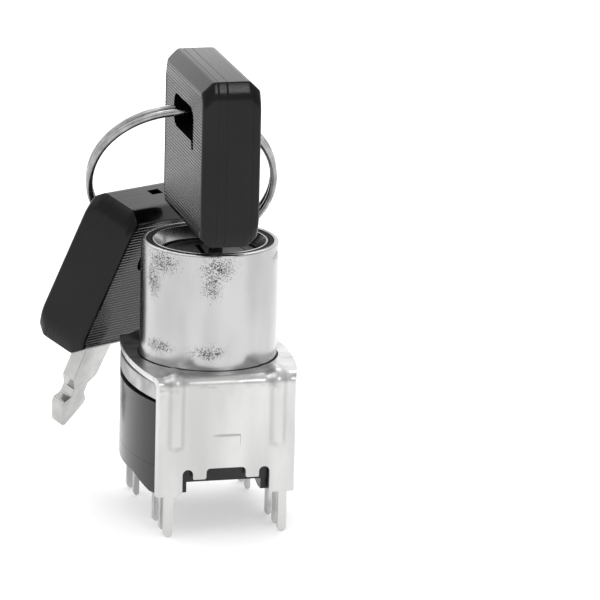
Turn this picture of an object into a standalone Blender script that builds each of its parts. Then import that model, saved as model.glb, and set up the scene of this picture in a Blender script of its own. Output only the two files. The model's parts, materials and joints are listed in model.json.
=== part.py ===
"""Selector key switch: a printed-circuit keylock switch with its key, key ring and spare key.

Units in the constants are millimetres; the model is built in metres, +Z up along the lock's axis.
The origin is the centre of the terminal base's underside. The front of the switch faces -Y.
"""

import math

import bmesh
import bpy
from mathutils import Matrix, Vector

MM = 0.001
OBJECT_NAME = "selector_key_switch"

# Heights along the lock's axis
PIN_TIP_Z = -4.7
SEAT_Z = -1.05
BASE_TOP_Z = 1.5
HOUSING_BOTTOM_Z = 1.65
HOUSING_TOP_Z = 7.2
FLANGE_BOTTOM_Z = 7.5
FLANGE_TOP_Z = 8.95
PLATE_TOP_Z = 9.6
RIM_Z = 19.9
BOW_BOTTOM_Z = 20.8

# Lock barrel and plug
BARREL_RADIUS = 6.0
BORE_RADIUS = 4.0
PLUG_RADIUS = 3.85
FACE_RADIUS = 4.2
TAIL_RADIUS = 1.8
TAIL_SQUARE = 2.5

# Body outline: bulged sides between two flats, as half sizes (side middle, side at the flat, flat)
FLANGE_OUTLINE = (7.25, 6.1, 6.85)
HOUSING_OUTLINE = (7.4, 5.95, 6.85)
CAVITY_OUTLINE = (6.5, 5.1, 6.0)
PLATE_BULGE = 7.15

# Bracket
SHEET = 0.5
BRACKET_HALF_WIDTH = 6.0
BRACKET_HALF_DEPTH = 7.6
BEND_RADIUS = 0.7
RIB_X = 4.5
RIB_RADIUS = 0.7
RIB_BOTTOM_Z = 2.9

# Solder pins
PIN_PITCH = 2.54
PIN_WIDTH = 0.64
PIN_THICKNESS = 0.5
LEG_PIN_WIDTH = 0.75

# Key
BOW_THICKNESS = 5.2
BOW_WIDTH = 14.4
BOW_HEIGHT = 14.6
BOW_TAPER = 1.05
SLOT_WIDTH = 7.4
SLOT_HEIGHT = 3.1
SLOT_CORNER = 0.8
SLOT_ABOVE_CENTRE = 2.75
LIP_MARGIN = 0.4
LIP_DEPTH = 1.1
BLADE_THICKNESS = 1.3
TANG_LENGTH = 3.8
BLADE_GAP = 0.15

# Key ring: double-turn wire
RING_RADIUS = 8.1
WIRE_RADIUS = 0.27
TURN_PITCH = 0.6
CROSSOVER = math.radians(30.0)
RING_PIVOT = Vector((0.0, 2.4, 30.65))
RING_LEAN = math.radians(28.8)
RING_ROLL = math.radians(12.5)
RING_YAW = math.radians(-9.0)
SPARE_RING_ANGLE = math.radians(-170.0)
SPARE_UP = Vector((0.334, -0.19, 0.923)).normalized()
SPARE_THICKNESS_AXIS = Vector((0.633, -0.681, -0.369))
RING_IN_SLOT = (0.0, 0.5, -0.2)

# Tumblers
WAFER_COUNT = 4
WAFER_TOP_Z = 17.0
WAFER_PITCH = 1.3
WAFER_THICKNESS = 0.5
WAFER_HALF_WIDTH = 1.2
WAFER_HALF_LENGTH = 3.5

# Index balls
BALL_RADIUS = 0.75
BALL_ORBIT = 3.2
BALL_Z = 5.8
ROTOR_RADIUS = 4.4
ROTOR_TOP_Z = 5.95
ROTOR_BOTTOM_Z = 3.0

STEPS = 64


# ---------------------------------------------------------------- scene and helpers

def clear_scene():
    for scene_object in list(bpy.data.objects):
        bpy.data.objects.remove(scene_object, do_unlink=True)


def make_collection(name):
    collection = bpy.data.collections.new(name)
    bpy.context.scene.collection.children.link(collection)
    return collection


clear_scene()
PARTS = make_collection(OBJECT_NAME)
CUTTERS = make_collection("cutters")


def make_material(name, color, roughness, metallic):
    material = bpy.data.materials.new(name)
    material.use_nodes = True
    shader = material.node_tree.nodes["Principled BSDF"]
    shader.inputs["Base Color"].default_value = (*color, 1.0)
    shader.inputs["Roughness"].default_value = roughness
    shader.inputs["Metallic"].default_value = metallic
    return material


def add_part(mesh, name, color, roughness=0.4, metallic=0.0):
    """Put a mesh in the scene as a named piece with its own material."""
    part = bpy.data.objects.new(name, mesh)
    PARTS.objects.link(part)
    part.data.materials.clear()
    part.data.materials.append(make_material(name, color, roughness, metallic))
    mesh.shade_smooth()
    mesh.set_sharp_from_angle(angle=math.radians(35))
    return part


def cut(part, cutter_mesh, operation="DIFFERENCE"):
    """Cut a piece with a mesh, or join the mesh to it."""
    cutter = bpy.data.objects.new(part.name + "_cutter", cutter_mesh)
    CUTTERS.objects.link(cutter)
    cutter.hide_render = True
    cutter.display_type = "WIRE"
    modifier = part.modifiers.new("boolean", "BOOLEAN")
    modifier.operation = operation
    modifier.solver = "EXACT"
    modifier.object = cutter
    return cutter


def join(part, other_mesh):
    cut(part, other_mesh, "UNION")


def mesh_from_object(source, name):
    """Evaluate an object with its modifiers into a welded mesh in world space, and remove it."""
    bpy.context.view_layer.update()
    graph = bpy.context.evaluated_depsgraph_get()
    mesh = bpy.data.meshes.new_from_object(source.evaluated_get(graph))
    mesh.name = name
    mesh.transform(source.matrix_world)
    shape = bmesh.new()
    shape.from_mesh(mesh)
    bmesh.ops.remove_doubles(shape, verts=shape.verts, dist=1e-7)
    bmesh.ops.recalc_face_normals(shape, faces=shape.faces)
    shape.to_mesh(mesh)
    shape.free()
    bpy.data.objects.remove(source, do_unlink=True)
    return mesh


def turned(name, profile, steps=STEPS):
    """A solid of revolution about Z from (radius, z) points, down the outer side and back up."""
    mesh = bpy.data.meshes.new(name)
    points = [(radius * MM, 0.0, z * MM) for radius, z in profile]
    closed = profile[0][0] > 0.0
    edges = [(i, i + 1) for i in range(len(points) - 1)]
    if closed:
        edges.append((len(points) - 1, 0))
    mesh.from_pydata(points, edges, [])
    source = bpy.data.objects.new(name, mesh)
    PARTS.objects.link(source)
    screw = source.modifiers.new("screw", "SCREW")
    screw.steps = steps
    screw.render_steps = steps
    screw.use_merge_vertices = True
    screw.merge_threshold = 0.00001
    return mesh_from_object(source, name)


def prism(name, outlines, low, high, axis="Z"):
    """A flat outline (with any holes) given thickness along X, Y or Z.

    Outlines are (x, y) for Z, (x, z) for Y and (y, z) for X.
    """
    curve = bpy.data.curves.new(name, "CURVE")
    curve.dimensions = "2D"
    curve.fill_mode = "BOTH"
    curve.extrude = (high - low) / 2 * MM
    for outline in outlines:
        spline = curve.splines.new("POLY")
        spline.points.add(len(outline) - 1)
        for point, (u, v) in zip(spline.points, outline):
            point.co = (u * MM, v * MM, 0.0, 1.0)
        spline.use_cyclic_u = True
    source = bpy.data.objects.new(name, curve)
    PARTS.objects.link(source)
    middle = (low + high) / 2 * MM
    if axis == "Z":
        source.matrix_world = Matrix.Translation((0.0, 0.0, middle))
    elif axis == "Y":
        turn = Matrix(((1, 0, 0, 0), (0, 0, -1, middle), (0, 1, 0, 0), (0, 0, 0, 1)))
        source.matrix_world = turn
    else:
        turn = Matrix(((0, 0, 1, middle), (1, 0, 0, 0), (0, 1, 0, 0), (0, 0, 0, 1)))
        source.matrix_world = turn
    return mesh_from_object(source, name)


def block(name, low, high):
    """A box between two corners."""
    mesh = bpy.data.meshes.new(name)
    shape = bmesh.new()
    bmesh.ops.create_cube(shape, size=1.0)
    size = [(b - a) * MM for a, b in zip(low, high)]
    middle = [(a + b) / 2 * MM for a, b in zip(low, high)]
    bmesh.ops.scale(shape, verts=shape.verts, vec=size)
    bmesh.ops.translate(shape, verts=shape.verts, vec=middle)
    shape.to_mesh(mesh)
    shape.free()
    return mesh


def rod(name, radius, low, high, x=0.0, y=0.0, sides=32):
    """An upright cylinder."""
    mesh = bpy.data.meshes.new(name)
    shape = bmesh.new()
    bmesh.ops.create_cone(shape, cap_ends=True, segments=sides, radius1=radius * MM,
                          radius2=radius * MM, depth=(high - low) * MM)
    bmesh.ops.translate(shape, verts=shape.verts, vec=(x * MM, y * MM, (low + high) / 2 * MM))
    shape.to_mesh(mesh)
    shape.free()
    return mesh


def ball(name, radius, x, y, z, rings=10, sides=16):
    mesh = bpy.data.meshes.new(name)
    shape = bmesh.new()
    bmesh.ops.create_uvsphere(shape, u_segments=sides, v_segments=rings, radius=radius * MM)
    bmesh.ops.translate(shape, verts=shape.verts, vec=(x * MM, y * MM, z * MM))
    shape.to_mesh(mesh)
    shape.free()
    return mesh


def tube(name, points, radius, resolution=2):
    """A round wire through the given points, with filled ends."""
    curve = bpy.data.curves.new(name, "CURVE")
    curve.dimensions = "3D"
    curve.bevel_depth = radius * MM
    curve.bevel_resolution = resolution
    curve.use_fill_caps = True
    curve.resolution_u = 1
    curve.render_resolution_u = 0
    spline = curve.splines.new("POLY")
    spline.points.add(len(points) - 1)
    for point, place in zip(spline.points, points):
        point.co = (place[0] * MM, place[1] * MM, place[2] * MM, 1.0)
    source = bpy.data.objects.new(name, curve)
    PARTS.objects.link(source)
    return mesh_from_object(source, name)


def arc(centre, radius, start, end, count):
    """Points on an arc between two angles in degrees."""
    points = []
    for i in range(count + 1):
        angle = math.radians(start + (end - start) * i / count)
        points.append((centre[0] + radius * math.cos(angle), centre[1] + radius * math.sin(angle)))
    return points


def bulged(outline, count=12):
    """The body's outline: two flats at front and back, joined by bulging sides."""
    side, side_at_flat, flat = outline
    rise = side - side_at_flat
    radius = (rise * rise + flat * flat) / (2 * rise)
    spread = math.degrees(math.asin(flat / radius))
    right = arc((side - radius, 0.0), radius, -spread, spread, count)
    left = [(-x, -y) for x, y in right]
    return right + left


def circle(radius, count=STEPS):
    return arc((0.0, 0.0), radius, 0.0, 360.0 * (count - 1) / count, count - 1)


def coil(radius, low, high, turns, per_turn=10):
    """Points of a helix along Z."""
    total = turns * per_turn
    points = []
    for i in range(total + 1):
        angle = 2 * math.pi * i / per_turn
        points.append((radius * math.cos(angle), radius * math.sin(angle),
                       low + (high - low) * i / total))
    return points


# ---------------------------------------------------------------- lock

def make_lock_barrel():
    """Turned barrel on a bulged base flange, bored for the plug and grooved for the tumblers."""
    profile = [
        (5.62, RIM_Z), (5.86, RIM_Z - 0.12), (BARREL_RADIUS, RIM_Z - 0.42),
        (BARREL_RADIUS, FLANGE_BOTTOM_Z + 0.4), (3.7, FLANGE_BOTTOM_Z + 0.4),
        (3.7, FLANGE_BOTTOM_Z + 0.7), (2.1, FLANGE_BOTTOM_Z + 0.7), (2.1, FLANGE_BOTTOM_Z + 1.2),
        (BORE_RADIUS, FLANGE_BOTTOM_Z + 1.2), (BORE_RADIUS, 18.1), (FACE_RADIUS + 0.15, 18.1),
        (FACE_RADIUS + 0.15, 18.8), (4.9, RIM_Z - 0.2), (5.0, RIM_Z - 0.06), (5.1, RIM_Z - 0.12),
        (5.1, RIM_Z - 0.6), (5.5, RIM_Z - 0.6), (5.5, RIM_Z - 0.06),
    ]
    barrel = add_part(turned("lock_barrel", profile), "lock_barrel", (0.75, 0.76, 0.78), 0.15, 1.0)
    flange = prism("flange", [bulged(FLANGE_OUTLINE), circle(4.5, 48)],
                   FLANGE_BOTTOM_Z, FLANGE_TOP_Z)
    join(barrel, flange)
    cut(barrel, block("groove", (-1.5, -4.5, 12.0), (1.5, 4.5, 18.0)))
    cut(barrel, block("groove", (-4.5, -1.5, 12.0), (4.5, 1.5, 18.0)))


def make_rim_seal():
    low, high = RIM_Z - 0.52, RIM_Z - 0.2
    profile = [(5.3, high), (5.4, high - 0.06), (5.44, low), (5.16, low), (5.2, high - 0.06)]
    add_part(turned("rim_seal", profile), "rim_seal", (0.02, 0.02, 0.02), 0.6)


def tumbler_z(index):
    return WAFER_TOP_Z - index * WAFER_PITCH


def make_lock_plug():
    """Plug with keyway and tumbler slots, and a square-ended tail that drives the rotor."""
    profile = [
        (0.0, 18.05), (PLUG_RADIUS, 18.05), (PLUG_RADIUS, 8.85), (TAIL_RADIUS, 8.85),
        (TAIL_RADIUS, 6.6), (0.0, 6.6),
    ]
    plug = add_part(turned("lock_plug", profile, 48), "lock_plug", (0.7, 0.6, 0.35), 0.3, 1.0)
    half = TAIL_SQUARE / 2
    join(plug, block("tail", (-half, -half, 4.6), (half, half, 6.8)))
    cut(plug, block("keyway", (-0.85, -2.3, 11.0), (0.85, 2.3, 19.0)))
    for i in range(WAFER_COUNT):
        z = tumbler_z(i)
        cut(plug, block("slot", (-1.35, -4.4, z - 0.42), (2.55, 4.4, z + 0.42)))


def make_plug_face():
    """Moulded cap on the front of the plug, with the key's entry."""
    profile = [(0.0, 18.75), (3.9, 18.75), (FACE_RADIUS, 18.6), (FACE_RADIUS, 18.2), (0.0, 18.2)]
    face = add_part(turned("plug_face", profile, 48), "plug_face", (0.03, 0.03, 0.03), 0.4)
    cut(face, block("entry", (-0.85, -2.3, 17.0), (0.85, 2.3, 19.5)))


def make_plug_clip():
    """Open retaining ring under the barrel's floor."""
    opening = 40.0
    outer = arc((0, 0), 3.2, opening, 360 - opening, 28)
    inner = arc((0, 0), 1.95, 360 - opening, opening, 28)
    clip = prism("plug_clip", [outer + inner], FLANGE_BOTTOM_Z + 0.15, FLANGE_BOTTOM_Z + 0.5)
    add_part(clip, "plug_clip", (0.5, 0.5, 0.52), 0.3, 1.0)


def make_wafers():
    """Brass tumblers with a window for the blade, each beside its spring."""
    width, length = WAFER_HALF_WIDTH, WAFER_HALF_LENGTH
    outline = [(-width, -length), (width, -length), (width, length), (-width, length)]
    window = [(-0.85, -2.75), (0.85, -2.75), (0.85, 2.75), (-0.85, 2.75)]
    for i in range(WAFER_COUNT):
        z = tumbler_z(i)
        half = WAFER_THICKNESS / 2
        wafer = prism("wafer", [outline, window], z - half, z + half)
        add_part(wafer, f"wafer_{i + 1}", (0.8, 0.62, 0.3), 0.3, 1.0)
        wire = [(px + 1.93, pz, py + z) for px, py, pz in coil(0.25, -2.4, -0.2, 4, 8)]
        spring = tube("wafer_spring", wire, 0.09)
        add_part(spring, f"wafer_spring_{i + 1}", (0.6, 0.6, 0.62), 0.3, 1.0)


# ---------------------------------------------------------------- switch

def make_switch_housing():
    """Moulded shell over the contacts, with a roof that the plug's tail passes through."""
    shell = prism("switch_housing", [bulged(HOUSING_OUTLINE)], HOUSING_BOTTOM_Z, HOUSING_TOP_Z)
    housing = add_part(shell, "switch_housing", (0.02, 0.02, 0.02), 0.25)
    cut(housing, prism("cavity", [bulged(CAVITY_OUTLINE)], HOUSING_BOTTOM_Z - 1, 6.2))
    cut(housing, rod("tail_hole", 2.1, 5.0, 8.0))
    track = turned("ball_track", [(BALL_ORBIT - 1.0, 6.0), (BALL_ORBIT - 1.0, 6.5),
                                  (BALL_ORBIT - 0.5, 6.85), (BALL_ORBIT + 0.5, 6.85),
                                  (BALL_ORBIT + 1.0, 6.5), (BALL_ORBIT + 1.0, 6.0)][::-1], 48)
    cut(housing, track)


def terminal_places():
    """Pin centres: two rows, each with a front pair and one at the back."""
    return [(side * 2 * PIN_PITCH, row * PIN_PITCH) for side in (-1, 1) for row in (-2, -1, 2)]


def make_terminal_base():
    """Moulded base that closes the housing, with stand-off feet and pin slots."""
    inset = (HOUSING_OUTLINE[0] - 0.1, HOUSING_OUTLINE[1] - 0.1, HOUSING_OUTLINE[2] - 0.05)
    base = add_part(prism("terminal_base", [bulged(inset)], 0.0, BASE_TOP_Z),
                    "terminal_base", (0.02, 0.02, 0.02), 0.3)
    for side in (-1, 1):
        for end in (-1, 1):
            x0, x1 = sorted((side * 3.3, side * 5.7))
            y0, y1 = sorted((end * 5.75, end * 6.7))
            join(base, block("foot", (x0, y0, SEAT_Z + 0.05), (x1, y1, 0.6)))
    half_width, half_thickness = PIN_WIDTH / 2 + 0.15, PIN_THICKNESS / 2 + 0.15
    for x, y in terminal_places():
        cut(base, block("pin_slot", (x - half_thickness, y - half_width, -0.5),
                        (x + half_thickness, y + half_width, 2.0)))


def make_terminals():
    """Solder pins bent inward over the base as contact pads."""
    half = PIN_THICKNESS / 2
    for number, (x, y) in enumerate(terminal_places(), 1):
        side = 1 if x > 0 else -1
        point = PIN_TIP_Z + 0.35
        profile = [
            (-0.12, PIN_TIP_Z), (0.12, PIN_TIP_Z), (half, point), (half, 1.95), (-2.3, 1.95),
            (-2.3, 1.68), (-half, 1.68), (-half, point),
        ]
        outline = [(x + side * u, v) for u, v in profile]
        pin = prism("terminal", [outline], y - PIN_WIDTH / 2, y + PIN_WIDTH / 2, "Y")
        add_part(pin, f"terminal_{number}", (0.8, 0.8, 0.78), 0.3, 1.0)


def ball_places():
    return [(-BALL_ORBIT, 0.0), (BALL_ORBIT, 0.0)]


def make_contact_rotor():
    """Moulded rotor driven by the plug's square tail, with pockets for the index balls."""
    rotor = add_part(rod("contact_rotor", ROTOR_RADIUS, ROTOR_BOTTOM_Z, ROTOR_TOP_Z, sides=40),
                     "contact_rotor", (0.75, 0.73, 0.68), 0.5)
    half = TAIL_SQUARE / 2 + 0.15
    cut(rotor, block("socket", (-half, -half, 4.4), (half, half, 7.0)))
    for x, y in ball_places():
        cut(rotor, rod("pocket", BALL_RADIUS + 0.12, 3.45, 7.0, x, y, 20))


def make_wipers():
    """Bridging contacts under the rotor."""
    outline = [
        (-3.4, 2.1), (-2.9, 2.1), (-2.3, 2.55), (2.3, 2.55), (2.9, 2.1), (3.4, 2.1),
        (3.4, 2.3), (2.95, 2.3), (2.4, 2.8), (-2.4, 2.8), (-2.95, 2.3), (-3.4, 2.3),
    ]
    for number, y in enumerate((-1.9, 1.9), 1):
        wiper = prism("wiper", [outline], y - 0.5, y + 0.5, "Y")
        add_part(wiper, f"wiper_{number}", (0.8, 0.5, 0.3), 0.3, 1.0)


def make_index_balls():
    for number, (x, y) in enumerate(ball_places(), 1):
        sphere = ball("detent_ball", BALL_RADIUS, x, y, BALL_Z)
        add_part(sphere, f"detent_ball_{number}", (0.7, 0.7, 0.72), 0.1, 1.0)
        wire = [(px + x, py + y, pz) for px, py, pz in coil(0.5, 3.65, 4.85, 3)]
        add_part(tube("detent_spring", wire, 0.12), f"detent_spring_{number}",
                 (0.6, 0.6, 0.62), 0.3, 1.0)


# ---------------------------------------------------------------- bracket

def channel(half_depth, top, bottom, radius, half_length):
    """A block with rounded top edges, along X."""
    outline = arc((half_depth - radius, top - radius), radius, 0, 90, 5)
    outline += arc((radius - half_depth, top - radius), radius, 90, 180, 5)
    outline += [(-half_depth, bottom), (half_depth, bottom)]
    return prism("channel", [outline], -half_length, half_length, "X")


def bracket_edge():
    """Lower edge of a flange from the middle outward: cut-out, web, notch, leg, solder pin."""
    pin = 2 * PIN_PITCH
    half = LEG_PIN_WIDTH / 2
    notch = arc((3.4, 0.85), 0.47, 180, 0, 6)
    return [
        (1.75, 1.35), (1.75, 0.4), (2.93, 0.4), *notch, (3.87, SEAT_Z), (pin - half, SEAT_Z),
        (pin - half, PIN_TIP_Z + 0.5), (pin - 0.18, PIN_TIP_Z), (pin + 0.18, PIN_TIP_Z),
        (pin + half, PIN_TIP_Z + 0.5), (pin + half, SEAT_Z), (8.0, SEAT_Z),
    ]


def side_trim(side):
    """The waste outside the bracket's bulged side."""
    inner = bulged((PLATE_BULGE, BRACKET_HALF_WIDTH, BRACKET_HALF_DEPTH + 0.4))[:13]
    outline = [(10.0, -10.0), (10.0, 10.0), (inner[-1][0], 10.0), *inner[::-1], (inner[0][0], -10.0)]
    outline = [(side * x, y) for x, y in outline]
    return prism("side_trim", [outline], PIN_TIP_Z - 1.0, PLATE_TOP_Z + 1.0)


def make_bracket():
    """Stamped snap-on bracket: top plate, two flanges with ribs, four board legs with pins."""
    depth, top = BRACKET_HALF_DEPTH, PLATE_TOP_Z
    bracket = add_part(channel(depth, top, PIN_TIP_Z, BEND_RADIUS, 8.0), "bracket",
                       (0.78, 0.78, 0.76), 0.3, 1.0)
    for x in (-RIB_X, RIB_X):
        for side in (-1, 1):
            face = side * (depth - 0.35)
            join(bracket, tube("rib", [(x, face, RIB_BOTTOM_Z), (x, face, top - 1.0),
                                       (x, side * (depth - 1.3), top - 0.3)], RIB_RADIUS))
    for side in (-1, 1):
        y0, y1 = sorted((side * (depth - 0.5), side * (depth + 0.18)))
        join(bracket, block("snap_pad", (-0.9, y0, 2.8), (1.2, y1, 4.3)))
    cut(bracket, channel(depth - SHEET, top - SHEET, PIN_TIP_Z - 1.0, BEND_RADIUS - 0.3, 9.0))
    for side in (-1, 1):
        cut(bracket, side_trim(side))
    cut(bracket, rod("barrel_hole", BARREL_RADIUS + 0.15, top - 2.0, top + 2.0, sides=STEPS))
    edge = bracket_edge()
    waste = [(-x, z) for x, z in edge[::-1]] + edge + [(8.0, -8.0), (-8.0, -8.0)]
    cut(bracket, prism("lower_edge", [waste], -9.0, 9.0, "Y"))


# ---------------------------------------------------------------- keys and ring

def rounded_slot(margin=0.0, count=6):
    """The ring slot's outline in (y, z), or one that stands off it by a margin."""
    radius = SLOT_CORNER + margin
    reach = SLOT_WIDTH / 2 + margin - radius
    rise = SLOT_HEIGHT / 2 + margin - radius
    middle = SLOT_ABOVE_CENTRE
    return (arc((reach, middle + rise), radius, 0, 90, count)
            + arc((-reach, middle + rise), radius, 90, 180, count)
            + arc((-reach, middle - rise), radius, 180, 270, count)
            + arc((reach, middle - rise), radius, 270, 360, count))


def bow_mesh(name):
    """Key bow about its own centre: a block with tapered ends."""
    mesh = bpy.data.meshes.new(name)
    shape = bmesh.new()
    bmesh.ops.create_cube(shape, size=1.0)
    bmesh.ops.scale(shape, verts=shape.verts,
                    vec=(BOW_THICKNESS * MM, BOW_WIDTH * MM, BOW_HEIGHT * MM))
    for end in (-1, 1):
        plane = Vector((0.0, 0.0, end * (BOW_HEIGHT / 2 - BOW_TAPER) * MM))
        geometry = shape.verts[:] + shape.edges[:] + shape.faces[:]
        bmesh.ops.bisect_plane(shape, geom=geometry, plane_co=plane, plane_no=(0, 0, 1))
    narrow = 1 - 2 * BOW_TAPER / BOW_THICKNESS
    shallow = 1 - 2 * 0.5 / BOW_WIDTH
    for vertex in shape.verts:
        if abs(vertex.co.z) > (BOW_HEIGHT / 2 - BOW_TAPER / 2) * MM:
            vertex.co.x *= narrow
            vertex.co.y *= shallow
    shape.to_mesh(mesh)
    shape.free()
    return mesh


def make_bow(name):
    bow = add_part(bow_mesh(name), name, (0.025, 0.025, 0.028), 0.3)
    bevel = bow.modifiers.new("bevel", "BEVEL")
    bevel.width = 0.18 * MM
    bevel.segments = 2
    bevel.limit_method = "ANGLE"
    bevel.angle_limit = math.radians(20)
    cut(bow, prism("ring_slot", [rounded_slot()], -4.0, 4.0, "X"))
    recess = rounded_slot(LIP_MARGIN)
    face = BOW_THICKNESS / 2
    cut(bow, prism("lip", [recess], face - LIP_DEPTH, face + 1.0, "X"))
    cut(bow, prism("lip", [recess], -face - 1.0, LIP_DEPTH - face, "X"))
    half = BLADE_THICKNESS / 2 + BLADE_GAP
    low = -BOW_HEIGHT / 2
    cut(bow, block("tang_pocket", (-half, -2.8 - BLADE_GAP, low - 1.0),
                   (half, 2.8 + BLADE_GAP, low + TANG_LENGTH + BLADE_GAP)))
    return bow


def make_blade(name):
    """Flat blade below the bow, with a waisted arrow-shaped tip, about the bow's centre."""
    low = -BOW_HEIGHT / 2
    profile = [
        (-2.8, TANG_LENGTH), (-2.8, -0.85), (-2.1, -0.9), (-1.95, -4.1), (-1.05, -5.2),
        (-1.0, -6.0), (-1.8, -6.4), (-1.75, -7.0), (-0.3, -9.1), (0.15, -9.1), (1.85, -7.0),
        (1.8, -6.5), (1.05, -5.75), (0.9, -4.8), (1.85, -4.1), (2.0, -0.9), (2.8, -0.8),
        (2.8, TANG_LENGTH),
    ]
    outline = [(y, low + z) for y, z in profile]
    half = BLADE_THICKNESS / 2
    blade = prism("blade", [outline], -half, half, "X")
    return add_part(blade, name, (0.78, 0.77, 0.73), 0.25, 1.0)


def place_key(parts, matrix):
    """Stand a key's pieces, and the cutters that shape them, at a place in the assembly."""
    for part in parts:
        part.matrix_world = matrix
        for modifier in part.modifiers:
            if modifier.type == "BOOLEAN":
                modifier.object.matrix_world = matrix


def make_inserted_key():
    matrix = Matrix.Translation((0.0, 0.0, (BOW_BOTTOM_Z + BOW_HEIGHT / 2) * MM))
    place_key([make_blade("key_blade"), make_bow("key_bow")], matrix)


def ring_frame():
    """The ring's plane at its pivot: X and Z lie in the plane, and Z points away from its centre."""
    lean = Matrix.Rotation(RING_LEAN, 3, "X")
    roll = Matrix.Rotation(RING_ROLL, 3, "Y")
    yaw = Matrix.Rotation(RING_YAW, 3, "Z")
    return yaw @ lean @ roll


def ring_point(angle, sideways=0.0):
    """A point on the ring at an angle from its pivot, moved sideways along the ring's axis."""
    local = Vector((math.sin(angle), 0.0, math.cos(angle) - 1.0)) * RING_RADIUS
    local.y = sideways
    return RING_PIVOT + ring_frame() @ local


def turn_offset(angle):
    """Sideways place of the wire: one turn on each side, with a short crossover between them."""
    middle = 2 * math.pi
    share = min(max((angle - middle) / CROSSOVER + 0.5, 0.0), 1.0)
    return TURN_PITCH * (share * share * (3 - 2 * share) - 0.5)


def make_split_ring():
    """One wire wound twice round, crossing over inside the bow of the inserted key."""
    start = CROSSOVER / 2 + 0.07
    end = 4 * math.pi - start
    count = 92
    points = []
    for i in range(count + 1):
        angle = start + (end - start) * i / count
        points.append(ring_point(angle, turn_offset(angle)))
    add_part(tube("split_ring", points, WIRE_RADIUS), "split_ring", (0.6, 0.6, 0.62), 0.2, 1.0)


def spare_frame():
    """Rotation of the spare key: X through its thickness, Z towards the top of its bow."""
    up = SPARE_UP
    across = (SPARE_THICKNESS_AXIS - up * SPARE_THICKNESS_AXIS.dot(up)).normalized()
    along = up.cross(across)
    return Matrix((across, along, up)).transposed()


def make_spare_key():
    turn = spare_frame()
    hole = ring_point(SPARE_RING_ANGLE) - turn @ Vector(RING_IN_SLOT)
    centre = hole - turn @ Vector((0.0, 0.0, SLOT_ABOVE_CENTRE))
    matrix = Matrix.Translation(centre * MM) @ turn.to_4x4()
    place_key([make_blade("spare_key_blade"), make_bow("spare_key_bow")], matrix)


make_lock_barrel()
make_rim_seal()
make_lock_plug()
make_plug_face()
make_plug_clip()
make_wafers()
make_switch_housing()
make_terminal_base()
make_terminals()
make_contact_rotor()
make_wipers()
make_index_balls()
make_bracket()
make_inserted_key()
make_split_ring()
make_spare_key()
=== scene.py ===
"""Looks of the selector key switch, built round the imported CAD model.

Shapes are worked out in millimetres in the CAD's own frame and scaled to metres when they are made.
"""

import json
import math

import bmesh
import bpy
import numpy as np
from mathutils import Matrix, Vector


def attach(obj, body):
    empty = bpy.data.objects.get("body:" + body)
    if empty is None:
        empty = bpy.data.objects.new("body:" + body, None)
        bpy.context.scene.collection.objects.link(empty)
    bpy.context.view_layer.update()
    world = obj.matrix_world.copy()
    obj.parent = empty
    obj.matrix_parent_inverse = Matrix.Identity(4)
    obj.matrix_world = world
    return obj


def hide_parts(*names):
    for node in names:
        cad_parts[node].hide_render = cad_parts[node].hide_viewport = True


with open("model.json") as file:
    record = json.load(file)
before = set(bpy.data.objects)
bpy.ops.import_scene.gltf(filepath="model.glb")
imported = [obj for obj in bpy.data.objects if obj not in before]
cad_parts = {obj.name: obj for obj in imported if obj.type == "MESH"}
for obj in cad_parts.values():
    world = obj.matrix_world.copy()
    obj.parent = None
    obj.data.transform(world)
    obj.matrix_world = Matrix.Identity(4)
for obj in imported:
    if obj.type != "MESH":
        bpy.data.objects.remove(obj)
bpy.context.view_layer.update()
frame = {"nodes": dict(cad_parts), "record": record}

MM = 0.001

# Sizes in millimetres. Most are the CAD model's own; the slot, bend, ribs and wire differ a little.
RIM_Z = 19.9
PLATE_TOP_Z = 9.6
FLANGE_BOTTOM_Z = 7.5
FLANGE_TOP_Z = 8.95
HOUSING_TOP_Z = 7.2
HOUSING_BOTTOM_Z = 1.65
PIN_TIP_Z = -4.7
SEAT_Z = -1.05
BARREL_RADIUS = 6.0
FLANGE_OUTLINE = (7.25, 6.1, 6.85)
HOUSING_OUTLINE = (7.4, 5.95, 6.85)
CAVITY_OUTLINE = (6.5, 5.1, 6.0)
PLATE_BULGE = 7.15
BRACKET_HALF_WIDTH = 6.0
BRACKET_HALF_DEPTH = 7.6
SHEET = 0.5
BEND = 0.85
RIB_X = 4.5
RIB_HEIGHT = 0.34
RIB_REACH = 0.9
PIN_PITCH = 2.54
BOW_THICKNESS = 5.2
BOW_WIDTH = 14.4
BOW_HEIGHT = 14.6
BOW_TAPER = 1.05
BOW_CENTRE_Z = 28.1
SLOT_WIDTH = 7.4
SLOT_HEIGHT = 2.9
SLOT_CORNER = 1.1
SLOT_ABOVE_CENTRE = 2.75
BLADE_THICKNESS = 1.3
TANG_LENGTH = 3.8
RING_RADIUS = 8.1
TURN_PITCH = 0.6
WIRE_HALF_WIDTH = 0.31
WIRE_HALF_THICKNESS = 0.28
WIRE_SIDES = 16
WIRE_STEPS = 420
WIRE_END_GAP = 0.07
CROSSOVER = math.radians(30.0)
RING_PIVOT = Vector((0.0, 2.4, 30.65))
RING_LEAN = math.radians(28.8)
RING_ROLL = math.radians(12.5)
RING_YAW = math.radians(-9.0)
SPARE_RING_ANGLE = math.radians(-170.0)
SPARE_UP = Vector((0.334, -0.19, 0.923)).normalized()
SPARE_THICKNESS_AXIS = Vector((0.633, -0.681, -0.369))
RING_IN_SLOT = (0.0, 0.5, -0.2)


# ---------------------------------------------------------------- camera, light and floor

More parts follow.
